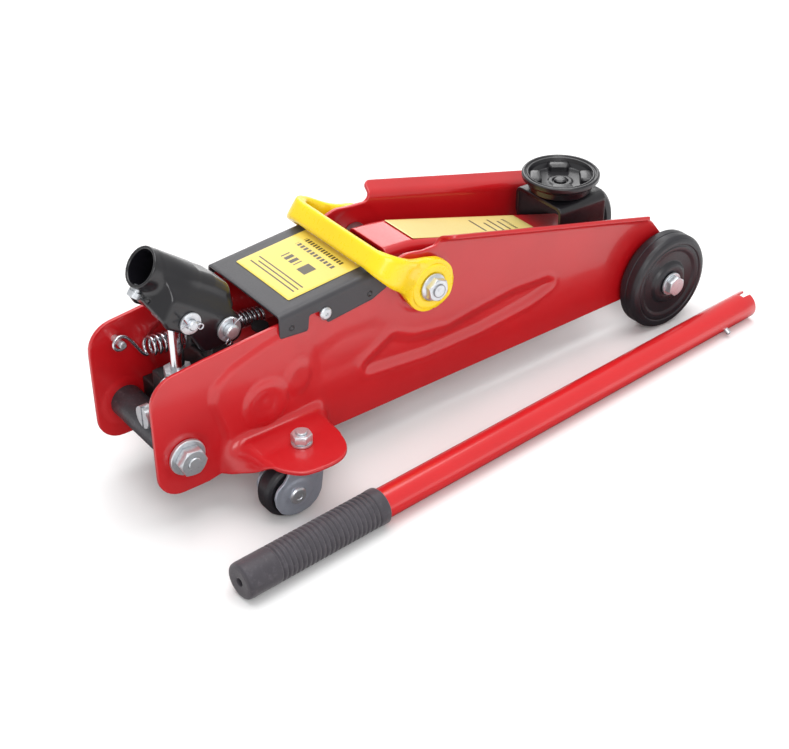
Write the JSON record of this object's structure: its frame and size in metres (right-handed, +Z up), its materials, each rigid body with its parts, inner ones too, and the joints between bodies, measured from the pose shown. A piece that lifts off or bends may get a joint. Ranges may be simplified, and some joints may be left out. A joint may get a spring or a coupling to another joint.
{
  "type": "hydraulic trolley jack",
  "caption": "Low-profile hydraulic trolley jack: pressed side plates, lift arm with swivel saddle, pump unit, wheels and casters, carry yoke and a loose pump handle.",
  "frame": {"origin": "centre of the whole footprint at floor level, with the loose handle beside the jack", "axes": "+X along the jack towards the saddle and front wheels, +Y to its left, +Z up"},
  "size_m": [0.5182, 0.2402, 0.1914],
  "materials": {
    "red_paint": "gloss",
    "black_sheet": "satin",
    "black_gloss": "gloss",
    "yellow_plastic": "gloss",
    "yellow_label": "satin",
    "wheel_black": "satin",
    "zinc": "zinc plated",
    "chrome": "polished",
    "spring_steel": "zinc plated",
    "dark_tube": "dark",
    "cast_block": "painted",
    "tank_red": "gloss",
    "steel": "machined",
    "plug_rubber": "matte",
    "grip_rubber": "matte"
  },
  "bodies": {
    "frame": {"side_plate_right": "red_paint", "side_plate_left": "red_paint", "rear_spacer_tube": "dark_tube", "rear_tie_bolt": "zinc", "rear_tie_nut_and_washers": "zinc", "front_axle": "steel", "front_axle_spacer": "steel", "front_axle_bolts": "zinc", "main_pivot_axle": "steel", "main_pivot_nuts": "zinc", "main_pivot_spacers": "steel", "cover_plate": "black_sheet", "cover_label": "yellow_label", "cover_screws": "zinc", "pump_block": "cast_block", "pump_gland_nut": "steel", "reservoir_tank": "tank_red", "ram_cylinder": "steel", "tank_end_cap": "cast_block", "filler_plug": "plug_rubber", "socket_pivot_pin": "zinc", "pivot_pin_fasteners": "zinc", "rod_rear_pins": "steel", "spring_pegs": "steel", "return_spring_right": "spring_steel", "return_spring_left": "spring_steel", "caster_swivel_bolts": "zinc", "caster_washers": "zinc", "caster_nuts": "zinc"},
    "carry_handle": {"carry_handle": "yellow_plastic"},
    "handle_socket": {"handle_socket": "black_gloss", "socket_lock_screw": "zinc", "plunger_drive_pin": "zinc", "drive_pin_fasteners": "zinc"},
    "plunger": {"pump_plunger": "chrome", "plunger_head": "steel"},
    "release_valve": {"release_valve": "zinc"},
    "lift_arm": {"lift_arm": "red_paint", "arm_pivot_tube": "steel", "arm_label": "yellow_label", "lever_pin": "steel"},
    "roller": {"ram_roller": "steel"},
    "saddle_bracket": {"saddle_bracket": "black_gloss", "bracket_pivot_pin": "steel", "rod_front_pins": "steel"},
    "radius_rods": {"radius_rods": "steel"},
    "saddle": {"saddle": "black_gloss", "saddle_screw_and_ring": "zinc"},
    "ram": {"ram_piston": "chrome", "ram_head": "cast_block", "ram_cross_pin": "steel"},
    "front_wheel_right": {"front_wheel_right": "wheel_black"},
    "front_wheel_left": {"front_wheel_left": "wheel_black"},
    "caster_fork_right": {"caster_fork_right": "zinc"},
    "caster_fork_left": {"caster_fork_left": "zinc"},
    "caster_wheel_right": {"caster_wheel_right": "wheel_black"},
    "caster_wheel_left": {"caster_wheel_left": "wheel_black"},
    "loose_handle": {"handle_tube": "red_paint", "handle_grip": "grip_rubber"},
    "handle_button": {"handle_button": "zinc"}
  },
  "joints": [
    {"name": "lift", "type": "hinge", "parent": "frame", "child": "lift_arm", "pos_m": [-0.03964, 0.01921, 0.1195], "axis": [0, -1, 0], "range_deg": [0, 74], "deforming": ["return_spring_right", "return_spring_left"]},
    {"name": "bracket_level", "type": "hinge", "parent": "lift_arm", "child": "saddle_bracket", "pos_m": [0.12836, 0.01921, 0.0693], "axis": [0, -1, 0], "range_deg": [-74, 0]},
    {"name": "radius_rod_swing", "type": "hinge", "parent": "frame", "child": "radius_rods", "pos_m": [-0.02964, 0.01921, 0.0895], "axis": [0, -1, 0], "range_deg": [0, 74]},
    {"name": "ram_stroke", "type": "slide", "parent": "frame", "child": "ram", "axis": [1, 0, 0], "range_m": [0, 0.0579]},
    {"name": "roller_spin", "type": "hinge", "parent": "lift_arm", "child": "roller", "pos_m": [-0.06854, 0.01921, 0.0812], "axis": [0, -1, 0], "continuous": true},
    {"name": "saddle_swivel", "type": "hinge", "parent": "saddle_bracket", "child": "saddle", "pos_m": [0.12836, 0.01921, 0.12], "axis": [0, 0, 1], "continuous": true},
    {"name": "handle_pump", "type": "hinge", "parent": "frame", "child": "handle_socket", "pos_m": [-0.18764, 0.01921, 0.1275], "axis": [0, -1, 0], "range_deg": [0, 38]},
    {"name": "plunger_stroke", "type": "slide", "parent": "frame", "child": "plunger", "axis": [0, 0, -1], "range_m": [0, 0.0206]},
    {"name": "release_valve_turn", "type": "hinge", "parent": "frame", "child": "release_valve", "pos_m": [-0.23364, 0.00871, 0.075], "axis": [1, 0, 0], "range_deg": [0, 180]},
    {"name": "carry_handle_swing", "type": "hinge", "parent": "frame", "child": "carry_handle", "pos_m": [-0.03964, 0.01921, 0.1195], "axis": [0, 1, 0], "range_deg": [0, 45]},
    {"name": "front_wheel_right_spin", "type": "hinge", "parent": "frame", "child": "front_wheel_right", "pos_m": [0.19636, -0.03349, 0.04], "axis": [0, 1, 0], "continuous": true},
    {"name": "front_wheel_left_spin", "type": "hinge", "parent": "frame", "child": "front_wheel_left", "pos_m": [0.19636, 0.07191, 0.04], "axis": [0, 1, 0], "continuous": true},
    {"name": "caster_swivel_right", "type": "hinge", "parent": "frame", "child": "caster_fork_right", "pos_m": [-0.16464, -0.05179, 0.045], "axis": [0, 0, 1], "continuous": true},
    {"name": "caster_swivel_left", "type": "hinge", "parent": "frame", "child": "caster_fork_left", "pos_m": [-0.16464, 0.09021, 0.045], "axis": [0, 0, 1], "continuous": true},
    {"name": "caster_wheel_right_spin", "type": "hinge", "parent": "caster_fork_right", "child": "caster_wheel_right", "pos_m": [-0.17814, -0.05179, 0.021], "axis": [0, 1, 0], "continuous": true},
    {"name": "caster_wheel_left_spin", "type": "hinge", "parent": "caster_fork_left", "child": "caster_wheel_left", "pos_m": [-0.17814, 0.09021, 0.021], "axis": [0, 1, 0], "continuous": true},
    {"name": "loose_handle_lift", "type": "slide", "parent": "frame", "child": "loose_handle", "axis": [0, 0, 1], "range_m": [0, 0.25]},
    {"name": "handle_button_press", "type": "slide", "parent": "loose_handle", "child": "handle_button", "axis": [-0.0607, 0.8809, 0.4695], "range_m": [0, 0.004]}
  ],
  "couplings": [
    {"joint": "bracket_level", "follows": "lift", "ratio": -1},
    {"joint": "radius_rod_swing", "follows": "lift", "ratio": 1},
    {"joint": "ram_stroke", "follows": "lift", "m_per_rad": 0.044753},
    {"joint": "plunger_stroke", "follows": "handle_pump", "m_per_rad": 0.030851}
  ]
}
